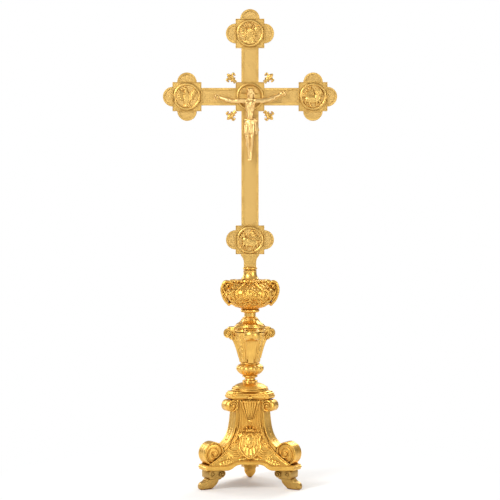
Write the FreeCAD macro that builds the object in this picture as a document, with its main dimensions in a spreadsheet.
import FreeCAD, Part
import math
import os
import re

import Sketcher

# Altar cross: a cast brass crucifix on a turned stem and a three-sided base.
# Millimetres.  X runs to the right, Y to the rear, Z up.  The stem's axis is X = Y = 0
# and the table is Z = 0.

SIZES = [
    # feet
    ("foot_tall", 31.0, "table to the top of a foot"),
    ("foot_block_wide", 26.0, "foot block, across"),
    ("foot_block_in", 51.0, "foot block, inner face from the stem axis"),
    ("foot_block_out", 79.5, "foot block, outer face from the stem axis"),
    ("foot_block_tall", 14.0, "foot block height"),
    ("foot_leg_wide", 21.0, "leg and toe, across"),
    ("foot_toe_out", 92.0, "tip of the toe from the stem axis"),
    ("foot_toe_in", 70.0, "inner end of the toe's flat sole"),
    ("foot_toe_tall", 12.5, "top of the toe"),
    ("foot_heel_in", 67.5, "pointed heel from the stem axis"),
    ("foot_heel_up", 3.0, "height of the heel's tip"),
    ("dowel_radius", 2.4, "foot and cornice dowels"),
    ("dowel_fit", 0.1, "radial clearance of a dowel in its hole"),
    ("foot_dowel_reach", 66.0, "foot dowel from the stem axis"),
    ("foot_dowel_sink", 9.0, "depth of a dowel hole in foot and scroll"),
    ("end_gap", 0.5, "space at the end of a blind hole"),
    # plinth
    ("plinth_tall", 8.0, "plinth moulding height"),
    ("plinth_reach", 86.6, "plinth corner face from the stem axis"),
    ("plinth_corner_wide", 24.0, "plinth corner, across"),
    ("plinth_corner_in", 52.0, "inner face of a plinth corner"),
    ("plinth_deep", 12.0, "front to back of the plinth rim"),
    ("plinth_step", 2.0, "set-back of the plinth's fillets"),
    ("plinth_fillet", 1.8, "height of the plinth's fillets"),
    ("arch_rise", 9.5, "rise of the plinth rim in mid side"),
    ("arch_band", 5.5, "height of the rim in mid side"),
    ("arch_half", 36.0, "half the width of the rise"),
    ("arch_flat", 14.0, "half the width of its level middle"),
    ("arch_ease", 2.0, "how much wider the rise is on top than underneath"),
    ("rim_fillet", 1.3, "height of the rim's fillets"),
    # pedestal
    ("pedestal_tall", 99.0, "plinth top to cornice"),
    ("scroll_wide", 22.0, "corner scroll, across"),
    ("big_volute_radius", 17.5, "lower volute"),
    ("big_volute_reach", 68.5, "centre of the lower volute from the stem axis"),
    ("big_volute_lift", 17.0, "centre of the lower volute over the plinth"),
    ("small_volute_radius", 9.5, "upper volute"),
    ("small_volute_reach", 36.1, "centre of the upper volute from the stem axis"),
    ("scroll_inner_reach", 20.0, "inner face of a corner scroll at the top"),
    ("scroll_inner_drop", 18.0, "straight part of that inner face"),
    ("scroll_seat_in", 56.0, "inner end of the scroll's seat on the plinth"),
    ("eye_radius", 3.6, "button in the middle of a volute"),
    ("eye_proud", 1.0, "how far the button stands out"),
    ("panel_apothem", 22.5, "outer face of a panel at its top"),
    ("panel_thick", 3.0, "panel wall"),
    ("panel_straight", 31.0, "upright part of a panel below the cornice"),
    ("flare_radius", 97.8, "hollow curve of a panel"),
    ("curve_gap", 0.3, "space between two curved faces that lie together"),
    # cartouche with the face
    ("shield_wide", 40.0, "cartouche, across"),
    ("shield_top", 98.0, "top of the cartouche over the table"),
    ("shield_low", 47.0, "bottom of the cartouche over the table"),
    ("shield_thick", 4.0, "cartouche plate"),
    ("shield_stud_radius", 2.5, "stud behind the cartouche"),
    ("shield_stud_up", 66.0, "stud over the table"),
    ("face_up", 72.0, "middle of the face over the table"),
    ("face_wide", 17.0, "face on the cartouche, across"),
    ("face_tall", 23.0, "face on the cartouche, height"),
    ("face_deep", 6.0, "face, front to back from its plate"),
    ("fan_wide", 31.0, "fluted fan over the face, across its top"),
    ("fan_tip_wide", 8.0, "fluted fan, across its tip"),
    ("fan_tall", 29.0, "fluted fan height"),
    ("fan_thick", 3.0, "fluted fan plate"),
    ("fan_gap", 1.5, "space between the fan's top and the cornice"),
    # cornice and dome
    ("cornice_corner_wide", 20.0, "cornice corner, across"),
    ("cornice_bed_reach", 36.5, "lowest member, corner from the stem axis"),
    ("cornice_bed_tall", 2.6, "lowest member"),
    ("cornice_crown_reach", 39.8, "widest member, corner from the stem axis"),
    ("cornice_crown_tall", 5.2, "widest member"),
    ("cornice_cap_reach", 38.6, "third member, corner from the stem axis"),
    ("cornice_cap_tall", 2.6, "third member"),
    ("cornice_top_reach", 36.4, "top member, corner from the stem axis"),
    ("cornice_top_tall", 2.6, "top member"),
    ("cornice_dowel_reach", 27.5, "cornice dowel from the stem axis"),
    ("cornice_dowel_sink", 7.0, "depth of a cornice dowel hole"),
    ("dome_tall", 13.0, "dome height"),
    ("dome_foot_radius", 29.5, "dome at the cornice"),
    ("dome_bead_radius", 27.5, "dome at its bead"),
    ("dome_bead_tall", 3.0, "bead of the dome"),
    ("dome_shoulder_radius", 23.0, "dome at the shoulder"),
    ("dome_crown_radius", 12.0, "dome at its top"),
    # stem
    ("rod_radius", 3.0, "tie rod"),
    ("rod_fit", 0.3, "radial clearance of the tie rod in the stem"),
    ("neck_low_tall", 10.0, "lower neck height"),
    ("neck_low_flange", 11.4, "lower neck flanges"),
    ("neck_low_waist", 8.6, "lower neck waist"),
    ("bulb_tall", 21.0, "gadrooned bulb height"),
    ("bulb_foot_radius", 11.8, "bulb at its foot"),
    ("bulb_radius", 22.0, "bulb at its widest"),
    ("bulb_belly_up", 12.0, "widest place over the bulb's foot"),
    ("bulb_top_radius", 14.0, "bulb at its top"),
    ("vase_tall", 55.0, "vase height"),
    ("vase_foot_radius", 13.0, "vase at its foot"),
    ("vase_body_radius", 19.0, "vase body at its widest"),
    ("vase_pier_wide", 16.0, "corner pier of the vase, across"),
    ("vase_pier_reach", 16.0, "corner pier at its foot"),
    ("vase_roll_wide", 26.0, "corner roll of the vase, across"),
    ("vase_roll_radius", 5.2, "corner roll of the vase"),
    ("vase_roll_reach", 37.6, "centre of the roll from the stem axis"),
    ("vase_roll_up", 42.5, "centre of the roll over the vase's foot"),
    ("vase_slab_reach", 33.0, "top slab of the vase, corner from the axis"),
    ("vase_slab_wide", 24.0, "top slab of the vase, corner across"),
    ("vase_slab_tall", 4.0, "top slab of the vase"),
    ("cap_tall", 16.0, "stepped cap over the vase"),
    ("cap_foot_radius", 24.5, "cap at its foot"),
    ("cap_mid_radius", 21.5, "cap's middle ring"),
    ("cap_high_radius", 17.5, "cap's upper ring"),
    ("cap_top_radius", 11.0, "cap at its top"),
    ("neck_up_tall", 13.0, "upper neck height"),
    ("neck_up_waist", 9.0, "upper neck waist"),
    ("neck_up_ring", 13.4, "ring under the knop"),
    ("neck_up_ring_tall", 5.0, "height of that ring"),
    ("knop_low_tall", 28.0, "lower half of the knop"),
    ("knop_up_tall", 18.5, "upper half of the knop"),
    ("knop_foot_radius", 13.4, "knop at its foot"),
    ("knop_low_radius", 31.6, "knop a little over its foot"),
    ("knop_belt_radius", 43.4, "knop at its belt"),
    ("knop_rim_radius", 36.0, "flat rim on the knop's shoulder"),
    ("knop_collar_radius", 21.0, "knop's top ring"),
    ("collar_tall", 19.5, "bell-shaped collar height"),
    ("collar_foot_radius", 13.7, "collar at its foot"),
    ("collar_waist_radius", 10.6, "collar at its waist"),
    ("collar_ring_radius", 9.9, "collar's top ring"),
    ("collar_ring_tall", 4.0, "height of that ring"),
    ("rod_below", 15.0, "tie rod below the cornice"),
    ("rod_into_foot", 12.0, "tie rod in the foot of the cross"),
    ("washer_radius", 10.0, "washer"),
    ("washer_thick", 2.0, "washer"),
    ("nut_flats", 11.0, "nut across its flats"),
    ("nut_tall", 6.0, "nut"),
    # cross
    ("cross_foot_tall", 20.5, "foot of the cross"),
    ("cross_foot_top", 29.0, "foot of the cross, across its top"),
    ("cross_foot_waist", 19.5, "foot of the cross, across its waist"),
    ("cross_foot_waist_up", 6.5, "height of that waist"),
    ("bar_wide", 27.0, "cross bars, across"),
    ("bar_thick", 11.0, "cross bars, front to back"),
    ("border", 3.5, "raised border of the bars"),
    ("field_deep", 1.2, "sunk field inside a border"),
    ("plate_wide", 45.0, "square plates of the cross"),
    ("plate_thick", 13.0, "square plates, front to back"),
    ("lobe_radius", 15.2, "round lobes of the finials"),
    ("lobe_thick", 10.0, "lobes, front to back"),
    ("lobe_border", 3.0, "raised border of a lobe"),
    ("arm_reach", 98.8, "centre plate to an upper finial, centre to centre"),
    ("shaft_reach", 224.5, "centre plate to the lower finial, centre to centre"),
    ("tenon_wide", 15.0, "tenons at the ends of the bars"),
    ("tenon_thick", 5.0, "tenons"),
    ("tenon_long", 12.0, "tenons"),
    ("tenon_fit", 0.15, "clearance all round a tenon"),
    ("rivet_radius", 1.5, "rivets through the tenons"),
    ("rivet_head_radius", 2.9, "rivet heads on the back"),
    ("rivet_head_tall", 1.2, "rivet heads on the back"),
    ("rivet_sink", 9.5, "rivet shank length"),
    ("rivet_inset", 6.0, "rivet from the edge of its plate"),
    ("medal_radius", 21.5, "medallions"),
    ("medal_thick", 2.4, "medallion ground"),
    ("medal_ring_wide", 2.8, "raised ring of a medallion"),
    ("medal_ring_tall", 1.4, "raised ring of a medallion"),
    ("medal_seat", 1.2, "depth of the medallion's square seat"),
    ("medal_spigot_radius", 2.2, "spigot behind a medallion"),
    ("medal_spigot_long", 2.6, "spigot behind a medallion"),
    ("relief_tall", 2.2, "relief figures over their ground"),
    ("fleuron_long", 17.0, "fleurons between the arms"),
    ("fleuron_wide", 14.5, "fleurons, across the side petals"),
    ("fleuron_thick", 4.4, "fleurons, front to back"),
    ("fleuron_stem", 4.6, "fleuron stem, across"),
    ("fleuron_pin_radius", 1.3, "pin of a fleuron"),
    ("fleuron_pin_long", 5.0, "pin of a fleuron"),
    # figure
    ("figure_off", 9.6, "middle of the figure in front of the bars"),
    ("hip_up", -42.0, "hips from the middle of the cross"),
    ("chest_up", -16.0, "chest from the middle of the cross"),
    ("head_up", 5.4, "head from the middle of the cross"),
    ("head_tall", 18.5, "head height"),
    ("head_wide", 13.0, "head width"),
    ("knee_up", -64.5, "knees from the middle of the cross"),
    ("sole_up", -100.5, "soles from the middle of the cross"),
    ("shoulder_out", 8.0, "shoulder joints from the middle"),
    ("shoulder_up", -7.0, "shoulder joints from the middle of the cross"),
    ("palm_out", 51.0, "palms from the middle"),
    ("palm_left_up", -0.5, "left palm from the middle of the cross"),
    ("palm_right_up", 4.0, "right palm from the middle of the cross"),
    ("palm_radius", 3.1, "palms"),
    ("palm_thick", 3.8, "palms, front to back"),
    ("upper_arm_radius", 3.1, "upper arm"),
    ("wrist_radius", 1.7, "wrist"),
    ("nail_radius", 0.8, "nails"),
    ("nail_head_radius", 1.7, "nail heads"),
    ("nail_head_tall", 1.0, "nail heads"),
    ("nail_sink", 5.0, "nail in the bar"),
]

doc = FreeCAD.newDocument("AltarCross")
sheet = doc.addObject("Spreadsheet::Sheet", "Sizes")
for row, (name, value, note) in enumerate(SIZES, start=1):
    sheet.set("A%d" % row, name)
    sheet.set("B%d" % row, str(value))
    sheet.set("C%d" % row, note)
    sheet.setAlias("B%d" % row, name)
doc.recompute()
ALIASES = {name for name, _, _ in SIZES}
NODES = []


def q(text):
    """A formula of the plain size names, as FreeCAD wants it."""
    return re.sub(r"[a-z][a-z_]+", lambda m: "Sizes." + m.group(0) if m.group(0) in ALIASES
                  else m.group(0), str(text))


def val(text):
    """The present value of such a formula."""
    result = sheet.evalExpression(q(text))
    return float(getattr(result, "Value", result))


def bound(text):
    """True where the formula uses a size of the sheet."""
    return q(text) != str(text)


def bind(thing, prop, text):
    """Ties a property to the sheet, or sets it where the formula is only a number."""
    thing.setExpression(prop, q(text))


def new_body(label, move=("0", "0", "0"), turn=None):
    """An empty body with its name and place; turn is (axis, degrees)."""
    body = doc.addObject("PartDesign::Body", label)
    body.Label = label
    spin = FreeCAD.Rotation()
    if turn:
        spin = FreeCAD.Rotation(FreeCAD.Vector(*turn[0]), turn[1])
    body.Placement = FreeCAD.Placement(FreeCAD.Vector(*[val(part) for part in move]), spin)
    for axis, text in zip("xyz", move):
        if bound(text):
            bind(body, "Placement.Base." + axis, text)
    NODES.append(body)
    return body


def origin_part(body, role):
    """One of the body's own origin planes or axes."""
    return next(item for item in body.Origin.OriginFeatures if item.Role == role)


def draw(body, plane, loops, lift="0", axis_height=None):
    """A fully tied sketch on an origin plane of the body.

    A loop is a list of (x, y) or (x, y, sweep) formulas: sweep is the angle of the arc that
    leaves the point, positive where it turns left.  A circle is ("circle", x, y, radius).
    """
    sketch = body.newObject("Sketcher::SketchObject", "Sketch")
    sketch.AttachmentSupport = [(origin_part(body, plane), "")]
    sketch.MapMode = "FlatFace"
    if bound(lift):
        bind(sketch, "AttachmentOffset.Base.z", lift)
    else:
        sketch.AttachmentOffset = FreeCAD.Placement(FreeCAD.Vector(0, 0, val(lift)),
                                                    FreeCAD.Rotation())
    ties = []

    def tie_point(geo, pos, x, y):
        for kind, text in (("DistanceX", x), ("DistanceY", y)):
            if text == "0":
                ties.append((Sketcher.Constraint("PointOnObject", geo, pos,
                                                 -2 if kind == "DistanceX" else -1), None))
            else:
                ties.append((Sketcher.Constraint(kind, -1, 1, geo, pos, val(text)), text))

    for loop in loops:
        if loop[0] == "circle":
            _, x, y, radius = loop
            middle = FreeCAD.Vector(val(x), val(y), 0)
            geo = sketch.addGeometry(Part.Circle(middle, FreeCAD.Vector(0, 0, 1), val(radius)))
            tie_point(geo, 3, x, y)
            ties.append((Sketcher.Constraint("Radius", geo, val(radius)), radius))
            continue
        count = len(loop)
        spots = [FreeCAD.Vector(val(item[0]), val(item[1]), 0) for item in loop]
        starts, ends = [], []
        for index, item in enumerate(loop):
            here, there = spots[index], spots[(index + 1) % count]
            if len(item) == 2:
                geo = sketch.addGeometry(Part.LineSegment(here, there))
                starts.append((geo, 1))
                ends.append((geo, 2))
                continue
            sweep = math.radians(val(item[2]))
            chord = there - here
            left = FreeCAD.Vector(-chord.y, chord.x, 0)
            middle = (here + there) * 0.5 + left * (0.5 / math.tan(sweep / 2))
            radius = (here - middle).Length
            first, last = (here, there) if sweep > 0 else (there, here)
            low = math.atan2(first.y - middle.y, first.x - middle.x)
            high = math.atan2(last.y - middle.y, last.x - middle.x)
            if high < low:
                high += 2 * math.pi
            circle = Part.Circle(middle, FreeCAD.Vector(0, 0, 1), radius)
            geo = sketch.addGeometry(Part.ArcOfCircle(circle, low, high))
            starts.append((geo, 1 if sweep > 0 else 2))
            ends.append((geo, 2 if sweep > 0 else 1))
            size = item[2].lstrip("-")
            ties.append((Sketcher.Constraint("Angle", geo, abs(sweep)), size))
        for index, item in enumerate(loop):
            tie_point(*starts[index], item[0], item[1])
            following = starts[(index + 1) % count]
            ties.append((Sketcher.Constraint("Coincident", *ends[index], *following), None))
    if axis_height is not None:
        low = FreeCAD.Vector(-10, val(axis_height), 0)
        high = FreeCAD.Vector(10, val(axis_height), 0)
        geo = sketch.addGeometry(Part.LineSegment(low, high), True)
        for pos, x in ((1, "-10"), (2, "10")):
            ties.append((Sketcher.Constraint("DistanceX", -1, 1, geo, pos, float(x)), None))
            ties.append((Sketcher.Constraint("DistanceY", -1, 1, geo, pos, val(axis_height)),
                         axis_height))
    sketch.addConstraint([item for item, _ in ties])
    for index, (item, text) in enumerate(ties):
        if text is not None and bound(text):
            sketch.renameConstraint(index, "size_%d" % index)
            bind(sketch, "Constraints.size_%d" % index, text)
    return sketch


def pad(body, sketch, length, both=False, back=False):
    """Material out of a sketch."""
    feature = body.newObject("PartDesign::Pad", "Pad")
    feature.Profile = sketch
    bind(feature, "Length", length)
    feature.SideType = "Symmetric" if both else "One side"
    feature.Reversed = back
    return feature


def pocket(body, sketch, length=None, both=False, back=False):
    """A cut from a sketch; all the way through where no length is given."""
    feature = body.newObject("PartDesign::Pocket", "Pocket")
    feature.Profile = sketch
    if length is None:
        feature.Type = "ThroughAll"
    else:
        bind(feature, "Length", length)
    feature.SideType = "Symmetric" if both else "One side"
    feature.Reversed = back
    return feature


def turn(body, profile):
    """A turned piece: an (r, z) profile round the body's Z axis."""
    sketch = draw(body, "XZ_Plane", [profile])
    feature = body.newObject("PartDesign::Revolution", "Turned")
    feature.Profile = sketch
    feature.ReferenceAxis = (sketch, ["V_Axis"])
    feature.Angle = 360
    return feature


def around(body, features, count):
    """The given features repeated round the body's Z axis."""
    pattern = body.newObject("PartDesign::PolarPattern", "Around")
    pattern.Originals = features
    pattern.Axis = (origin_part(body, "Z_Axis"), [""])
    pattern.Angle = 360
    pattern.Occurrences = count
    body.Tip = pattern
    return pattern


def box_loop(x0, x1, y0, y1):
    """A rectangle between two x and two y formulas."""
    return [(x0, y0), (x1, y0), (x1, y1), (x0, y1)]


def canted(reach, wide):
    """A three-sided outline with cut-off corners; one corner points along +Y (the rear)."""
    loop = []
    for angle in (90, 210, 330):
        for side in (-1, 1):
            x = "(%s) * cos(%d) - (%s) / 2 * (%d) * sin(%d)" % (reach, angle, wide, side, angle)
            y = "(%s) * sin(%d) + (%s) / 2 * (%d) * cos(%d)" % (reach, angle, wide, side, angle)
            loop.append((x, y))
    return loop


# Heights of the joints over the table.
PLINTH_UP = "foot_tall"
PEDESTAL_UP = "(foot_tall + plinth_tall)"
CORNICE_UP = "(foot_tall + plinth_tall + pedestal_tall)"
CORNICE_TALL = "(cornice_bed_tall + cornice_crown_tall + cornice_cap_tall + cornice_top_tall)"
DOME_UP = "(%s + %s)" % (CORNICE_UP, CORNICE_TALL)
NECK_LOW_UP = "(%s + dome_tall)" % DOME_UP
BULB_UP = "(%s + neck_low_tall)" % NECK_LOW_UP
VASE_UP = "(%s + bulb_tall)" % BULB_UP
CAP_UP = "(%s + vase_tall)" % VASE_UP
NECK_UP_UP = "(%s + cap_tall)" % CAP_UP
KNOP_UP = "(%s + neck_up_tall)" % NECK_UP_UP
KNOP_HALF_UP = "(%s + knop_low_tall)" % KNOP_UP
COLLAR_UP = "(%s + knop_up_tall)" % KNOP_HALF_UP
CROSS_FOOT_UP = "(%s + collar_tall)" % COLLAR_UP
CROSS_UP = "(%s + cross_foot_tall + plate_wide / 2 + shaft_reach)" % CROSS_FOOT_UP
BORE = "(rod_radius + rod_fit)"
DOWEL_BORE = "dowel_radius + dowel_fit"
CORNERS = (("front_right", -30), ("rear", 90), ("front_left", 210))
SIDES = (("front", 0), ("rear_right", 120), ("rear_left", 240))

# ---------------------------------------------------------------- feet and plinth
for name, angle in CORNERS:
    foot = new_body("foot_" + name, turn=((0, 0, 1), angle))
    block_low = "(foot_tall - foot_block_tall)"
    block = draw(foot, "XZ_Plane", [[
        ("foot_block_in + 3", block_low),
        ("foot_block_out - 3", block_low, "90"),
        ("foot_block_out", block_low + " + 3"),
        ("foot_block_out", "foot_tall - 3", "-60"),
        ("foot_block_out - 2", "foot_tall"),
        ("foot_block_in + 2", "foot_tall", "-60"),
        ("foot_block_in", "foot_tall - 3"),
        ("foot_block_in", block_low + " + 3", "90"),
    ]])
    pad(foot, block, "foot_block_wide", both=True)
    leg = draw(foot, "XZ_Plane", [[
        ("foot_toe_in", "0"),
        ("foot_toe_out - 4", "0", "90"),
        ("foot_toe_out", "4", "80"),
        ("foot_toe_out - 5", "foot_toe_tall", "-60"),
        ("foot_block_out - 6", block_low + " + 1"),
        ("foot_block_in + 8", block_low + " + 1", "-20"),
        ("foot_heel_in", "foot_heel_up", "60"),
    ]])
    pad(foot, leg, "foot_leg_wide", both=True)
    bore = draw(foot, "XY_Plane", [("circle", "foot_dowel_reach", "0", DOWEL_BORE)], lift="foot_tall")
    pocket(foot, bore, "foot_dowel_sink + end_gap")

for name, angle in CORNERS:
    corner = new_body("plinth_corner_" + name, ("0", "0", PLINTH_UP), ((0, 0, 1), angle))
    face = draw(corner, "XZ_Plane", [[
        ("plinth_corner_in", "0"),
        ("plinth_reach - plinth_step", "0"),
        ("plinth_reach - plinth_step", "plinth_fillet", "150"),
        ("plinth_reach - plinth_step", "plinth_tall - plinth_fillet"),
        ("plinth_reach - plinth_step", "plinth_tall"),
        ("plinth_corner_in", "plinth_tall"),
    ]])
    pad(corner, face, "plinth_corner_wide", both=True)
    bore = draw(corner, "XY_Plane", [("circle", "foot_dowel_reach", "0", DOWEL_BORE)])
    pocket(corner, bore, both=True)

# The plinth's rims run between the corners and rise in mid side.
RIM_Y = "-((plinth_reach - plinth_step) * sin(30) + plinth_corner_wide / 2 * cos(30))"
RIM_FAR = "(plinth_reach * 0.9)"
ARCH_MID = "((arch_half + arch_flat) / 2)"


def side_cuts(body, wide, near, far):
    """Trims a side piece along the two corner pieces that it stands between."""
    for sign in ("", "-"):
        reach = "(tan(60) * (%s) - (%s))"
        inner = reach % (near, wide)
        outer = reach % (far, wide)
        past = "(%s + 60)" % outer
        loop = [(sign + inner, "-(%s)" % near), (sign + outer, "-(%s)" % far),
                (sign + past, "-(%s)" % far), (sign + past, "-(%s)" % near)]
        pocket(body, draw(body, "XY_Plane", [loop]), both=True)


def rim_top(base, inset="0"):
    """Upper edge of a plinth rim from right to left, over the height base."""
    level = "%s + plinth_tall - %s" % (base, inset)
    crown = "%s + arch_rise + arch_band - %s" % (base, inset)
    middle = "%s + (plinth_tall + arch_rise + arch_band) / 2 - %s" % (base, inset)
    return [
        (RIM_FAR, level),
        ("arch_half + arch_ease", level, "-30"),
        (ARCH_MID + " + arch_ease", middle, "30"),
        ("arch_flat + arch_ease", crown),
        ("-arch_flat - arch_ease", crown, "30"),
        ("-%s - arch_ease" % ARCH_MID, middle, "-30"),
        ("-arch_half - arch_ease", level),
        ("-" + RIM_FAR, level),
    ]


def rim_under(inset):
    """Lower edge of a plinth rim from left to right."""
    return [
        ("-" + RIM_FAR, inset),
        ("-arch_half", inset, "40"),
        ("-" + ARCH_MID, "arch_rise / 2 + " + inset, "-40"),
        ("-arch_flat", "arch_rise + " + inset),
        ("arch_flat", "arch_rise + " + inset, "-40"),
        (ARCH_MID, "arch_rise / 2 + " + inset, "40"),
        ("arch_half", inset),
        (RIM_FAR, inset),
    ]


for name, angle in SIDES:
    rim = new_body("plinth_rim_" + name, ("0", "0", PLINTH_UP), ((0, 0, 1), angle))
    back = draw(rim, "XZ_Plane", [rim_under("0") + rim_top("0")],
                lift="-(%s + plinth_deep)" % RIM_Y)
    pad(rim, back, "plinth_deep - plinth_step")
    proud = draw(rim, "XZ_Plane", [rim_under("rim_fillet") + rim_top("0", "rim_fillet")],
                 lift="-(%s + 2 * plinth_step)" % RIM_Y)
    pad(rim, proud, "2 * plinth_step")
    side_cuts(rim, "plinth_corner_wide", "plinth_reach * 0.3", "plinth_reach * 0.8")

dowels = []
for reach, low, long in (
        ("foot_dowel_reach", "foot_tall - foot_dowel_sink", "2 * foot_dowel_sink + plinth_tall"),
        ("cornice_dowel_reach", CORNICE_UP + " - cornice_dowel_sink", "2 * cornice_dowel_sink")):
    group = []
    for name, angle in CORNERS:
        pin = doc.addObject("Part::Cylinder", "Dowel")
        bind(pin, "Radius", "dowel_radius")
        bind(pin, "Height", long)
        bind(pin, "Placement.Base.x", "%s * cos(%d)" % (reach, angle))
        bind(pin, "Placement.Base.y", "%s * sin(%d)" % (reach, angle))
        bind(pin, "Placement.Base.z", low)
        group.append(pin)
    dowels.append(group)


def gather(label, items):
    """Separate like solids kept in one node."""
    group = doc.addObject("Part::Compound", label)
    group.Label = label
    group.Links = items
    NODES.append(group)
    return group


gather("foot_dowels", dowels[0])
gather("cornice_dowels", dowels[1])

# ---------------------------------------------------------------- pedestal
for name, angle in CORNERS:
    scroll = new_body("corner_scroll_" + name, ("0", "0", PEDESTAL_UP), ((0, 0, 1), angle))
    big_x, big_z, big_r = "big_volute_reach", "big_volute_lift", "big_volute_radius"
    small_x, small_r = "small_volute_reach", "small_volute_radius"
    small_z = "(pedestal_tall - small_volute_radius)"
    seat = "sqrt(%s ^ 2 - %s ^ 2)" % (big_r, big_z)
    outline = draw(scroll, "XZ_Plane", [[
        ("scroll_seat_in", "0"),
        ("%s + %s" % (big_x, seat), "0", "90 deg - acos(%s / %s)" % (big_z, big_r)),
        ("%s + %s" % (big_x, big_r), big_z, "150"),
        ("%s + %s * cos(150)" % (big_x, big_r), "%s + %s * sin(150)" % (big_z, big_r), "-52"),
        ("%s + %s * cos(225)" % (small_x, small_r), "%s + %s * sin(225)" % (small_z, small_r),
         "135"),
        ("%s + %s" % (small_x, small_r), small_z, "90"),
        (small_x, "pedestal_tall"),
        ("scroll_inner_reach", "pedestal_tall"),
        ("scroll_inner_reach", "pedestal_tall - scroll_inner_drop", "50"),
    ]])
    pad(scroll, outline, "scroll_wide", both=True)
    eyes = draw(scroll, "XZ_Plane", [("circle", big_x, big_z, "eye_radius"),
                                     ("circle", small_x, small_z, "eye_radius * 0.6")])
    pad(scroll, eyes, "scroll_wide + 2 * eye_proud", both=True)
    bore = draw(scroll, "XY_Plane", [("circle", "foot_dowel_reach", "0", DOWEL_BORE)])
    pocket(scroll, bore, "foot_dowel_sink + end_gap", back=True)
    bore = draw(scroll, "XY_Plane", [("circle", "cornice_dowel_reach", "0", DOWEL_BORE)],
                lift="pedestal_tall")
    pocket(scroll, bore, "cornice_dowel_sink + end_gap")

FLARE_Y = "(-panel_apothem - flare_radius)"
FLARE_Z = "(%s - panel_straight)" % CORNICE_UP
PANEL_LOW = "(%s - 1)" % PEDESTAL_UP


def on_flare(height, extra="0"):
    """Y of the panel's hollow face, or of a face 'extra' behind it, at a height."""
    return "(%s + sqrt((flare_radius + %s) ^ 2 - (%s - %s) ^ 2))" % (FLARE_Y, extra, FLARE_Z,
                                                                   height)


def flare_sweep(low, high, extra="0"):
    """Angle of that face between two heights."""
    radius = "(flare_radius + %s)" % extra
    return "asin((%s - %s) / %s) - asin((%s - %s) / %s)" % (FLARE_Z, low, radius, FLARE_Z, high,
                                                          radius)


for name, angle in SIDES:
    panel = new_body("panel_" + name, turn=((0, 0, 1), angle))
    wall = draw(panel, "YZ_Plane", [[
        (on_flare(PANEL_LOW), PANEL_LOW),
        (on_flare(PANEL_LOW, "panel_thick"), PANEL_LOW,
         flare_sweep(PANEL_LOW, FLARE_Z, "panel_thick")),
        ("-panel_apothem + panel_thick", FLARE_Z),
        ("-panel_apothem + panel_thick", CORNICE_UP),
        ("-panel_apothem", CORNICE_UP),
        ("-panel_apothem", FLARE_Z, "-(%s)" % flare_sweep(PANEL_LOW, FLARE_Z)),
    ]])
    pad(panel, wall, "2 * plinth_reach", both=True)
    side_cuts(panel, "scroll_wide", "panel_apothem * 0.6", "plinth_reach * 0.8")
    # the foot of the panel follows the top of the rim
    under = [("-" + RIM_FAR, "foot_tall / 2"), (RIM_FAR, "foot_tall / 2")]
    arch = draw(panel, "XZ_Plane", [under + rim_top(PLINTH_UP)])
    pocket(panel, arch, both=True)
    stud_hole = draw(panel, "XZ_Plane", [("circle", "0", "shield_stud_up",
                                          "shield_stud_radius + dowel_fit")])
    pocket(panel, stud_hole, both=True)

for name, angle in SIDES:
    shield = new_body("cartouche_" + name, turn=((0, 0, 1), angle))
    back = "(-curve_gap)"
    front = "(-curve_gap - shield_thick)"
    plate = draw(shield, "YZ_Plane", [[
        (on_flare("shield_low", front), "shield_low"),
        (on_flare("shield_low", back), "shield_low",
         flare_sweep("shield_low", "shield_top", back)),
        (on_flare("shield_top", back), "shield_top"),
        (on_flare("shield_top", front), "shield_top",
         "-(%s)" % flare_sweep("shield_low", "shield_top", front)),
    ]])
    pad(shield, plate, "shield_wide", both=True)
    # rounded shoulders and a pointed foot
    half = "shield_wide / 2"
    for sign, sweep in (("", 1), ("-", -1)):
        cut = draw(shield, "XZ_Plane", [[
            (sign + "(%s + 1)" % half, "shield_low - 1"),
            (sign + "(%s + 1)" % half, "shield_low + 16", "%d" % (35 * sweep)),
            (sign + "6", "shield_low - 1"),
        ]])
        pocket(shield, cut, both=True)
        cut = draw(shield, "XZ_Plane", [[
            (sign + "(%s + 1)" % half, "shield_top + 1"),
            (sign + "(%s + 1)" % half, "shield_top - 14", "%d" % (-35 * sweep)),
            (sign + "7", "shield_top + 1"),
        ]])
        pocket(shield, cut, both=True)
    stud = draw(shield, "XZ_Plane", [("circle", "0", "shield_stud_up", "shield_stud_radius")],
                lift="-(%s) + curve_gap + shield_thick / 2" % on_flare("shield_stud_up"))
    pad(shield, stud, "panel_thick + shield_thick + 2", back=True)
    face = shield.newObject("PartDesign::AdditiveEllipsoid", "Face")
    face.AttachmentSupport = [(origin_part(shield, "XY_Plane"), "")]
    face.MapMode = "FlatFace"
    # the face leans back with the panel
    lean = FreeCAD.Rotation(FreeCAD.Vector(1, 0, 0), -21)
    face.AttachmentOffset = FreeCAD.Placement(FreeCAD.Vector(0, 0, 0), lean)
    bind(face, "AttachmentOffset.Base.z", "face_up")
    bind(face, "AttachmentOffset.Base.y", "%s - 2.4" % on_flare("face_up", front))
    bind(face, "Radius1", "face_tall / 2")
    bind(face, "Radius2", "face_wide / 2")
    bind(face, "Radius3", "face_deep")

# Fluted fans at the top of the panels.
for name, angle in SIDES:
    fan = new_body("fan_" + name, ("0", "0", CORNICE_UP + " - fan_gap"), ((0, 0, 1), angle))
    leaf = draw(fan, "XZ_Plane", [[
        ("-fan_tip_wide / 2", "-fan_tall + 3", "170"),
        ("fan_tip_wide / 2", "-fan_tall + 3"),
        ("fan_wide / 2", "0"),
        ("-fan_wide / 2", "0"),
    ]], lift="panel_apothem")
    pad(fan, leaf, "fan_thick")

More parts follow.
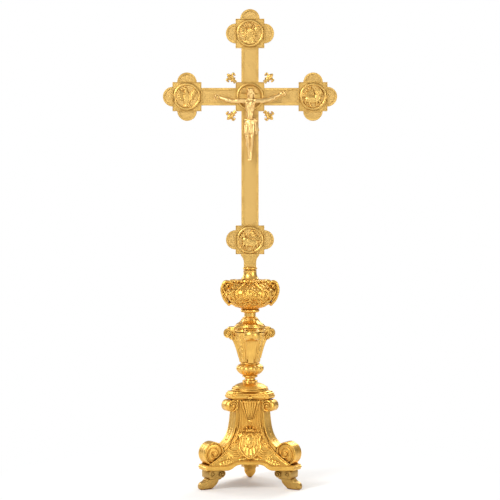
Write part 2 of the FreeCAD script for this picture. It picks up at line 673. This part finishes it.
# ---------------------------------------------------------------- cornice
cornice = new_body("cornice", ("0", "0", CORNICE_UP))
level = "0"
for member in ("bed", "crown", "cap", "top"):
    ring = draw(cornice, "XY_Plane", [canted("cornice_%s_reach" % member, "cornice_corner_wide")],
                lift=level)
    pad(cornice, ring, "cornice_%s_tall" % member)
    level = "%s + cornice_%s_tall" % (level, member)
pocket(cornice, draw(cornice, "XY_Plane", [("circle", "0", "0", BORE)]), both=True)
holes = []
for name, angle in CORNERS:
    holes.append(("circle", "cornice_dowel_reach * cos(%d)" % angle,
                  "cornice_dowel_reach * sin(%d)" % angle, DOWEL_BORE))
pocket(cornice, draw(cornice, "XY_Plane", holes), "cornice_dowel_sink + end_gap", back=True)


# ---------------------------------------------------------------- turned stem
def stem_piece(label, level, outline):
    """A turned piece with the tie rod's bore; outline runs up the outside."""
    body = new_body(label, ("0", "0", level))
    turn(body, [(BORE, outline[0][1])] + outline + [(BORE, outline[-1][1])])
    return body


stem_piece("base_dome", DOME_UP, [
    ("dome_foot_radius", "0"),
    ("dome_foot_radius", "1.5"),
    ("dome_bead_radius", "2.5", "180"),
    ("dome_bead_radius", "2.5 + dome_bead_tall"),
    ("dome_shoulder_radius", "dome_tall * 0.6", "50"),
    ("dome_crown_radius", "dome_tall - 1.5"),
    ("dome_crown_radius", "dome_tall"),
])
stem_piece("lower_neck", NECK_LOW_UP, [
    ("neck_low_flange", "0", "120"),
    ("neck_low_flange", "2.4"),
    ("neck_low_waist", "3.2", "-60"),
    ("neck_low_waist", "neck_low_tall - 3.2"),
    ("neck_low_flange", "neck_low_tall - 2.4", "120"),
    ("neck_low_flange", "neck_low_tall"),
])
stem_piece("gadroon_bulb", BULB_UP, [
    ("bulb_foot_radius", "0", "35"),
    ("bulb_radius", "bulb_belly_up", "70"),
    ("bulb_top_radius", "bulb_tall - 2"),
    ("bulb_top_radius", "bulb_tall"),
])

vase = new_body("vase_body", ("0", "0", VASE_UP), ((0, 0, 1), -85))
turn(vase, [
    (BORE, "0"),
    ("vase_foot_radius", "0"),
    ("vase_foot_radius", "2", "-30"),
    ("vase_body_radius", "vase_tall * 0.6", "20"),
    ("vase_body_radius + 1", "vase_tall - vase_slab_tall"),
    (BORE, "vase_tall - vase_slab_tall"),
])
pier = draw(vase, "XZ_Plane", [[
    ("vase_foot_radius * 0.6", "0.5"),
    ("vase_pier_reach", "0.5", "-48"),
    ("vase_roll_reach - 2", "vase_roll_up - 4"),
    ("vase_roll_reach - 2", "vase_roll_up + 2"),
    ("vase_slab_reach - 6", "vase_tall - vase_slab_tall"),
    ("vase_foot_radius * 0.6", "vase_tall - vase_slab_tall"),
]])
pier_pad = pad(vase, pier, "vase_pier_wide", both=True)
roll = draw(vase, "XZ_Plane", [("circle", "vase_roll_reach", "vase_roll_up", "vase_roll_radius")])
roll_pad = pad(vase, roll, "vase_roll_wide", both=True)
around(vase, [pier_pad, roll_pad], 3)
slab = draw(vase, "XY_Plane", [[
    (spot[1], "-(%s)" % spot[0]) for spot in canted("vase_slab_reach", "vase_slab_wide")
]], lift="vase_tall - vase_slab_tall")
pad(vase, slab, "vase_slab_tall")
pocket(vase, draw(vase, "XY_Plane", [("circle", "0", "0", BORE)]), both=True)

stem_piece("vase_cap", CAP_UP, [
    ("cap_foot_radius", "0", "150"),
    ("cap_foot_radius", "3.6"),
    ("cap_mid_radius", "4.2"),
    ("cap_mid_radius", "6.6", "30"),
    ("cap_high_radius", "10"),
    ("cap_high_radius - 1", "12", "-40"),
    ("cap_top_radius", "cap_tall - 1"),
    ("cap_top_radius", "cap_tall"),
])
stem_piece("upper_neck", NECK_UP_UP, [
    ("neck_up_waist + 1", "0"),
    ("neck_up_waist", "1.5"),
    ("neck_up_waist", "neck_up_tall - neck_up_ring_tall - 1"),
    ("neck_up_ring", "neck_up_tall - neck_up_ring_tall", "120"),
    ("neck_up_ring", "neck_up_tall"),
])
stem_piece("knop_lower", KNOP_UP, [
    ("knop_foot_radius", "0"),
    ("knop_foot_radius + 6", "3", "-20"),
    ("knop_low_radius", "8", "25"),
    ("knop_belt_radius - 2", "19", "20"),
    ("knop_belt_radius", "knop_low_tall"),
])
stem_piece("knop_upper", KNOP_HALF_UP, [
    ("knop_belt_radius", "0", "20"),
    ("knop_belt_radius - 1", "6", "40"),
    ("knop_rim_radius + 3", "12"),
    ("knop_rim_radius", "12.4"),
    ("knop_rim_radius - 2", "13.4", "-30"),
    ("knop_collar_radius + 2", "14.6"),
    ("knop_collar_radius", "15", "120"),
    ("knop_collar_radius", "17.6"),
    ("collar_foot_radius + 1.5", "knop_up_tall"),
])
stem_piece("collar", COLLAR_UP, [
    ("collar_foot_radius", "0"),
    ("collar_foot_radius", "1.6", "-50"),
    ("collar_waist_radius", "collar_tall - collar_ring_tall - 1.4"),
    ("collar_waist_radius - 1.4", "collar_tall - collar_ring_tall - 0.8"),
    ("collar_waist_radius - 1.4", "collar_tall - collar_ring_tall"),
    ("collar_ring_radius", "collar_tall - collar_ring_tall", "150"),
    ("collar_ring_radius", "collar_tall"),
])

rod = doc.addObject("Part::Cylinder", "tie_rod")
rod.Label = "tie_rod"
bind(rod, "Radius", "rod_radius")
bind(rod, "Height", "%s - %s + rod_below + rod_into_foot" % (CROSS_FOOT_UP, CORNICE_UP))
bind(rod, "Placement.Base.z", "%s - rod_below" % CORNICE_UP)
NODES.append(rod)

washer = new_body("base_washer", ("0", "0", CORNICE_UP))
pad(washer, draw(washer, "XY_Plane", [("circle", "0", "0", "washer_radius"),
                                      ("circle", "0", "0", BORE)]), "washer_thick", back=True)
nut = new_body("base_nut", ("0", "0", CORNICE_UP + " - washer_thick"))
hexagon = [("nut_flats / sqrt(3) * cos(%d)" % angle, "nut_flats / sqrt(3) * sin(%d)" % angle)
           for angle in range(30, 390, 60)]
hexagon[1] = ("0", "nut_flats / sqrt(3)")
hexagon[4] = ("0", "-nut_flats / sqrt(3)")
pad(nut, draw(nut, "XY_Plane", [hexagon, ("circle", "0", "0", "rod_radius + dowel_fit")]),
    "nut_tall", back=True)

# ---------------------------------------------------------------- foot of the cross
foot = new_body("cross_foot", ("0", "0", CROSS_FOOT_UP))
waist = "cross_foot_waist / 2"
bell = draw(foot, "XZ_Plane", [[
    ("-" + waist, "0"),
    (waist, "0"),
    (waist, "cross_foot_waist_up", "-50"),
    ("cross_foot_top / 2", "cross_foot_tall - 2"),
    ("cross_foot_top / 2", "cross_foot_tall"),
    ("-cross_foot_top / 2", "cross_foot_tall"),
    ("-cross_foot_top / 2", "cross_foot_tall - 2", "-50"),
    ("-" + waist, "cross_foot_waist_up"),
]])
pad(foot, bell, "plate_thick", both=True)
half_tenon = "tenon_wide / 2"
pad(foot, draw(foot, "XZ_Plane", [box_loop("-" + half_tenon, half_tenon, "cross_foot_tall - 1",
                                           "cross_foot_tall + tenon_long")]),
    "tenon_thick", both=True)
pocket(foot, draw(foot, "XY_Plane", [("circle", "0", "0", "rod_radius + dowel_fit")]),
       "rod_into_foot + end_gap", back=True)
pocket(foot, draw(foot, "XZ_Plane", [("circle", "0", "cross_foot_tall + rivet_inset",
                                      "rivet_radius + dowel_fit")]), both=True)


# ---------------------------------------------------------------- bars and plates
def cross_place(right, up):
    """A place on the cross, from its middle."""
    return (right, "0", "%s + %s" % (CROSS_UP, up))


def bar(label, centre, length, angle):
    """A bar with a sunk field and a tenon at each end; it runs along its own Z."""
    body = new_body(label, centre, ((0, 1, 0), angle))
    side = "bar_wide / 2"
    end = "(%s) / 2" % length
    pad(body, draw(body, "XZ_Plane", [box_loop("-" + side, side, "-" + end, end)]),
        "bar_thick", both=True)
    past = "(%s + tenon_long)" % end
    pad(body, draw(body, "XZ_Plane", [box_loop("-" + half_tenon, half_tenon, "-" + past, past)]),
        "tenon_thick", both=True)
    inner = "(bar_wide / 2 - border)"
    field = [box_loop("-" + inner, inner, "-(%s - border / 2)" % end, "(%s - border / 2)" % end)]
    for front in (True, False):
        lift = "bar_thick / 2" if front else "-bar_thick / 2"
        pocket(body, draw(body, "XZ_Plane", field, lift=lift), "field_deep", back=not front)
    spots = [("circle", "0", sign + "(%s + rivet_inset)" % end, "rivet_radius + dowel_fit")
             for sign in ("", "-")]
    pocket(body, draw(body, "XZ_Plane", spots), both=True)
    return body


ARM_LONG = "(arm_reach - plate_wide)"
SHAFT_LONG = "(shaft_reach - plate_wide)"
bar("bar_top", cross_place("0", "arm_reach / 2"), ARM_LONG, 0)
arm_left = bar("bar_left", cross_place("-arm_reach / 2", "0"), ARM_LONG, 90)
arm_right = bar("bar_right", cross_place("arm_reach / 2", "0"), ARM_LONG, 90)
shaft = bar("bar_shaft", cross_place("0", "-shaft_reach / 2"), SHAFT_LONG, 0)
# nail holes for the figure
NAIL = "nail_radius + dowel_fit / 2"
for body, x, y in ((arm_left, "-(palm_left_up)", "-(palm_out - arm_reach / 2)"),
                   (arm_right, "-(palm_right_up)", "palm_out - arm_reach / 2"),
                   (shaft, "0", "sole_up + 5 + shaft_reach / 2")):
    hole = draw(body, "XZ_Plane", [("circle", x, y, NAIL)], lift="bar_thick / 2")
    pocket(body, hole, "nail_sink + field_deep + end_gap")


def plate(label, centre, angle, lobes, mortises):
    """A square plate with round lobes on some sides and mortises in the others.

    Sides are numbered 0 up, 1 left, 2 down, 3 right in the plate's own frame.
    """
    body = new_body(label, centre, ((0, 1, 0), angle))
    side = "plate_wide / 2"
    pad(body, draw(body, "XZ_Plane", [box_loop("-" + side, side, "-" + side, side)]),
        "plate_thick", both=True)
    ways = {0: ("0", side), 1: ("-" + side, "0"), 2: ("0", "-" + side), 3: (side, "0")}
    for number in lobes:
        x, y = ways[number]
        pad(body, draw(body, "XZ_Plane", [("circle", x, y, "lobe_radius")]), "lobe_thick",
            both=True)
        # the sunk field of a lobe is a half round outside the square
        inner = "(lobe_radius - lobe_border)"
        edge = "(plate_wide / 2 + lobe_border / 2)"
        reach = "sqrt(%s ^ 2 - (lobe_border / 2) ^ 2)" % inner
        sweep = "180 deg - 2 * asin(lobe_border / 2 / %s)" % inner
        loops = {
            0: [("-" + reach, edge), (reach, edge, sweep)],
            1: [("-" + edge, reach, sweep), ("-" + edge, "-" + reach)],
            3: [(edge, "-" + reach, sweep), (edge, reach)],
        }
        for front in (True, False):
            lift = "lobe_thick / 2" if front else "-lobe_thick / 2"
            pocket(body, draw(body, "XZ_Plane", [loops[number]], lift=lift), "field_deep",
                   back=not front)
    wide = "(tenon_wide / 2 + tenon_fit)"
    deep = "(tenon_long + end_gap)"
    for number in mortises:
        low, high = "(plate_wide / 2 - %s)" % deep, "(plate_wide / 2 + 1)"
        loops = {
            0: box_loop("-" + wide, wide, low, high),
            1: box_loop("-" + high, "-" + low, "-" + wide, wide),
            2: box_loop("-" + wide, wide, "-" + high, "-" + low),
            3: box_loop(low, high, "-" + wide, wide),
        }
        pocket(body, draw(body, "XZ_Plane", [loops[number]]), "tenon_thick + 2 * tenon_fit",
               both=True)
        inset = "(plate_wide / 2 - rivet_inset)"
        spot = {0: ("0", inset), 1: ("-" + inset, "0"), 2: ("0", "-" + inset), 3: (inset, "0")}
        x, y = spot[number]
        hole = draw(body, "XZ_Plane", [("circle", x, y, "rivet_radius + dowel_fit")],
                    lift="-plate_thick / 2")
        pocket(body, hole, "rivet_sink + end_gap", back=True)
    seat = "(medal_radius + curve_gap)"
    pocket(body, draw(body, "XZ_Plane", [box_loop("-" + seat, seat, "-" + seat, seat)],
                      lift="plate_thick / 2"), "medal_seat")
    pocket(body, draw(body, "XZ_Plane", [("circle", "0", "0", "medal_spigot_radius + dowel_fit")],
                      lift="plate_thick / 2"), "medal_seat + medal_spigot_long + end_gap")
    return body


PLACES = {
    "top": (cross_place("0", "arm_reach"), 0),
    "left": (cross_place("-arm_reach", "0"), -90),
    "right": (cross_place("arm_reach", "0"), 90),
    "bottom": (cross_place("0", "-shaft_reach"), 0),
}
for name in ("top", "left", "right"):
    centre, angle = PLACES[name]
    plate("finial_" + name, centre, angle, lobes=(0, 1, 3), mortises=(2,))
plate("finial_bottom", *PLACES["bottom"], lobes=(1, 3), mortises=(0, 2))
centre_plate = plate("centre_plate", cross_place("0", "0"), 0, lobes=(), mortises=(0, 1, 2, 3))


def medallion(label, centre, ornament):
    """A round medallion with a raised ring, its relief and a spigot behind."""
    x, _, z = centre
    body = new_body(label, (x, "-(plate_thick / 2 - medal_seat)", z), ((1, 0, 0), 90))
    turn(body, [
        ("0", "-medal_spigot_long"),
        ("medal_spigot_radius", "-medal_spigot_long"),
        ("medal_spigot_radius", "0"),
        ("medal_radius", "0"),
        ("medal_radius", "medal_thick", "120"),
        ("medal_radius - medal_ring_wide", "medal_thick"),
        ("0", "medal_thick"),
    ])
    for x, y, long, wide, tilt in ornament:
        lump = body.newObject("PartDesign::AdditiveEllipsoid", "Relief")
        lump.AttachmentSupport = [(origin_part(body, "XY_Plane"), "")]
        lump.MapMode = "FlatFace"
        lump.AttachmentOffset = FreeCAD.Placement(
            FreeCAD.Vector(val("medal_radius") * x, val("medal_radius") * y, 0),
            FreeCAD.Rotation(FreeCAD.Vector(0, 0, 1), tilt))
        bind(lump, "AttachmentOffset.Base.x", "medal_radius * (%s)" % x)
        bind(lump, "AttachmentOffset.Base.y", "medal_radius * (%s)" % y)
        bind(lump, "AttachmentOffset.Base.z", "medal_thick")
        bind(lump, "Radius1", "relief_tall")
        bind(lump, "Radius2", "medal_radius * %s" % long)
        bind(lump, "Radius3", "medal_radius * %s" % wide)
    return body


# (x, y, half length, half width, tilt) in parts of the medallion's radius
WINGED = [(0, -0.1, 0.22, 0.5, 0), (0, 0.42, 0.15, 0.18, 0), (-0.42, 0.05, 0.18, 0.42, 25),
          (0.42, 0.05, 0.18, 0.42, -25)]
BEAST = [(0, -0.12, 0.5, 0.22, 0), (0.42, 0.25, 0.2, 0.2, 0), (-0.1, 0.3, 0.38, 0.2, 35),
         (-0.36, -0.42, 0.1, 0.26, 0), (0.36, -0.42, 0.1, 0.26, 0)]
for name, ornament in (("top", WINGED), ("left", WINGED), ("right", BEAST), ("bottom", BEAST)):
    medallion("medallion_" + name, PLACES[name][0], ornament)
nimbus = medallion("nimbus", cross_place("0", "0"), [])
for sketch_loop in (box_loop("-medal_radius * 0.8", "medal_radius * 0.8", "-3", "3"),
                    box_loop("-3", "3", "-medal_radius * 0.8", "medal_radius * 0.8")):
    pad(nimbus, draw(nimbus, "XY_Plane", [sketch_loop], lift="medal_thick - 0.2"), "1")

for name, angle in (("top_right", 45), ("bottom_right", 135), ("bottom_left", 225),
                    ("top_left", 315)):
    spread = "(plate_wide / 2)"
    right = spread if angle < 180 else "-" + spread
    up = spread if angle in (45, 315) else "-" + spread
    fleuron = new_body("fleuron_" + name, cross_place(right, up), ((0, 1, 0), angle))
    stem = "fleuron_stem / 2"
    side = "fleuron_wide / 2"
    flower = draw(fleuron, "XZ_Plane", [[
        ("0", "0"),
        (stem, "-(%s)" % stem),
        (stem, "fleuron_long * 0.22"),
        (side + " - 1", "fleuron_long * 0.22", "150"),
        (side, "fleuron_long * 0.46", "-70"),
        ("fleuron_stem * 0.62", "fleuron_long * 0.52", "40"),
        ("0", "fleuron_long"),
        ("-fleuron_stem * 0.62", "fleuron_long * 0.52", "-70"),
        ("-" + side, "fleuron_long * 0.46", "150"),
        ("-%s + 1" % side, "fleuron_long * 0.22"),
        ("-" + stem, "fleuron_long * 0.22"),
        ("-" + stem, "-(%s)" % stem),
    ]])
    pad(fleuron, flower, "fleuron_thick", both=True)
    pin = draw(fleuron, "XY_Plane", [("circle", "0", "0", "fleuron_pin_radius")], lift="1")
    pad(fleuron, pin, "fleuron_pin_long + 1", back=True)
    bore = draw(centre_plate, "XY_Plane", [("circle", "0", "0",
                                                  "fleuron_pin_radius + dowel_fit")])
    bore.AttachmentSupport = [(origin_part(centre_plate, "XY_Plane"), "")]
    bore.AttachmentOffset = FreeCAD.Placement(
        FreeCAD.Vector(val(right), 0, val(up)),
        FreeCAD.Rotation(FreeCAD.Vector(0, 1, 0), angle))
    bind(bore, "AttachmentOffset.Base.x", right)
    bind(bore, "AttachmentOffset.Base.z", up)
    pocket(centre_plate, bore, "fleuron_pin_long + end_gap")

# ---------------------------------------------------------------- rivets on the back
rivets = []
HALF = "plate_wide / 2 - rivet_inset"
for x, z in (("0", HALF), ("0", "-(%s)" % HALF), (HALF, "0"), ("-(%s)" % HALF, "0"),
             ("0", "arm_reach - (%s)" % HALF), ("arm_reach - (%s)" % HALF, "0"),
             ("-(arm_reach - (%s))" % HALF, "0"), ("0", "-shaft_reach + %s" % HALF),
             ("0", "-shaft_reach - (%s)" % HALF)):
    rivet = doc.addObject("Part::Feature", "Rivet")
    shank = Part.makeCylinder(val("rivet_radius"), val("rivet_sink"))
    head = Part.makeCone(val("rivet_head_radius"), val("rivet_head_radius") * 0.6,
                         val("rivet_head_tall"))
    head.rotate(FreeCAD.Vector(0, 0, 0), FreeCAD.Vector(1, 0, 0), 180)
    rivet.Shape = shank.fuse(head)
    rivet.Placement = FreeCAD.Placement(
        FreeCAD.Vector(val(x), val("plate_thick / 2"), val("%s + %s" % (CROSS_UP, z))),
        FreeCAD.Rotation(FreeCAD.Vector(1, 0, 0), 90))
    rivets.append(rivet)
gather("cross_rivets", rivets)

# ---------------------------------------------------------------- figure
FRONT = "-(bar_thick / 2 + figure_off)"


def lump(body, x, y, z, rx, ry, rz):
    """A rounded swelling of the figure."""
    item = body.newObject("PartDesign::AdditiveEllipsoid", "Swelling")
    item.AttachmentSupport = [(origin_part(body, "XY_Plane"), "")]
    item.MapMode = "FlatFace"
    for axis, text in (("x", x), ("y", y), ("z", z)):
        bind(item, "AttachmentOffset.Base." + axis, text)
    bind(item, "Radius2", rx)
    bind(item, "Radius3", ry)
    bind(item, "Radius1", rz)
    return item


def limb(body, start, end, thick, thin):
    """A round tapering limb between two points."""
    item = body.newObject("PartDesign::AdditiveCone", "Limb")
    item.AttachmentSupport = [(origin_part(body, "XY_Plane"), "")]
    item.MapMode = "FlatFace"
    first = FreeCAD.Vector(*[val(text) for text in start])
    last = FreeCAD.Vector(*[val(text) for text in end])
    way = last - first
    item.AttachmentOffset = FreeCAD.Placement(
        first, FreeCAD.Rotation(FreeCAD.Vector(0, 0, 1), way))
    bind(item, "Radius1", thick)
    bind(item, "Radius2", thin)
    item.Height = way.Length
    return item


torso = new_body("corpus_body", ("0", FRONT, CROSS_UP))
lump(torso, "0", "0", "chest_up", "8.6", "6.2", "12.5")
lump(torso, "0", "0.5", "(chest_up + hip_up) / 2", "6.6", "5.2", "14")
lump(torso, "-0.8", "0", "hip_up", "8.6", "6.4", "9.5")
lump(torso, "1", "-1.5", "head_up", "head_wide / 2", "head_wide / 2 + 1", "head_tall / 2")
limb(torso, ("0", "0", "chest_up + 8"), ("0.6", "-1", "head_up - 4"), "3.4", "3")
limb(torso, ("-4", "0", "hip_up"), ("-5", "-2.5", "knee_up"), "4.8", "3.6")
limb(torso, ("2.6", "0", "hip_up"), ("0.6", "-2.5", "knee_up"), "4.8", "3.6")
limb(torso, ("-5", "-2.5", "knee_up + 1.5"), ("-3.4", "figure_off - 3.6", "sole_up + 11"), "3.5", "2.2")
limb(torso, ("0.6", "-2.5", "knee_up + 1.5"), ("-1.6", "figure_off - 3.6", "sole_up + 11"), "3.5", "2.2")
lump(torso, "-2.2", "figure_off - 3.3", "sole_up + 6.5", "3.6", "3", "6.5")
lump(torso, "-4.5", "-1.6", "knee_up", "3.4", "3.2", "4")
lump(torso, "0.2", "-1.6", "knee_up", "3.4", "3.2", "4")
lump(torso, "0", "0", "shoulder_up", "shoulder_out - 0.4", "3.4", "3.4")
pocket(torso, draw(torso, "XZ_Plane", [("circle", "0", "sole_up + 5", NAIL)]), both=True)

for name, sign, rise in (("left", "-", "palm_left_up"), ("right", "", "palm_right_up")):
    arm = new_body("corpus_arm_" + name, ("0", FRONT, CROSS_UP))
    root = (sign + "(shoulder_out + 0.2)", "0", "shoulder_up")
    palm = (sign + "palm_out", "figure_off - 2.4", rise)
    limb(arm, root, palm, "upper_arm_radius", "wrist_radius")
    hand = draw(arm, "XZ_Plane", [("circle", sign + "(palm_out - 0.4)", rise, "palm_radius")],
                lift="-(figure_off - 2.4)")
    pad(arm, hand, "palm_thick", both=True)
    hole = draw(arm, "XZ_Plane", [("circle", sign + "palm_out", rise, NAIL)])
    pocket(arm, hole, both=True)

nails = []
for x, z, near in (("-palm_out", "palm_left_up", "4.8"), ("palm_out", "palm_right_up", "4.8"),
                   ("0", "sole_up + 5", "6.5")):
    nail = doc.addObject("Part::Feature", "Nail")
    shank = Part.makeCylinder(val("nail_radius"), val(near) + val("nail_sink"))
    head = Part.makeCylinder(val("nail_head_radius"), val("nail_head_tall"))
    head.translate(FreeCAD.Vector(0, 0, val(near) + val("nail_sink")))
    nail.Shape = shank.fuse(head)
    nail.Placement = FreeCAD.Placement(
        FreeCAD.Vector(val(x), -val("bar_thick / 2") + val("nail_sink"),
                       val("%s + %s" % (CROSS_UP, z))),
        FreeCAD.Rotation(FreeCAD.Vector(1, 0, 0), 90))
    nails.append(nail)
gather("corpus_nails", nails)

# ---------------------------------------------------------------- files
doc.recompute()
faults = []
for item in doc.Objects:
    if "Invalid" in item.State or "Error" in item.State:
        faults.append("%s %s %s" % (item.Name, item.Label, item.State))
for node in NODES:
    if node.Shape.isNull() or not node.Shape.isValid():
        faults.append("%s has no sound shape" % node.Label)
if faults:
    raise RuntimeError("; ".join(faults))
os.makedirs("parts", exist_ok=True)
for node in NODES:
    node.Shape.exportStep("parts/%s.step" % node.Label)
print("%d parts" % len(NODES))
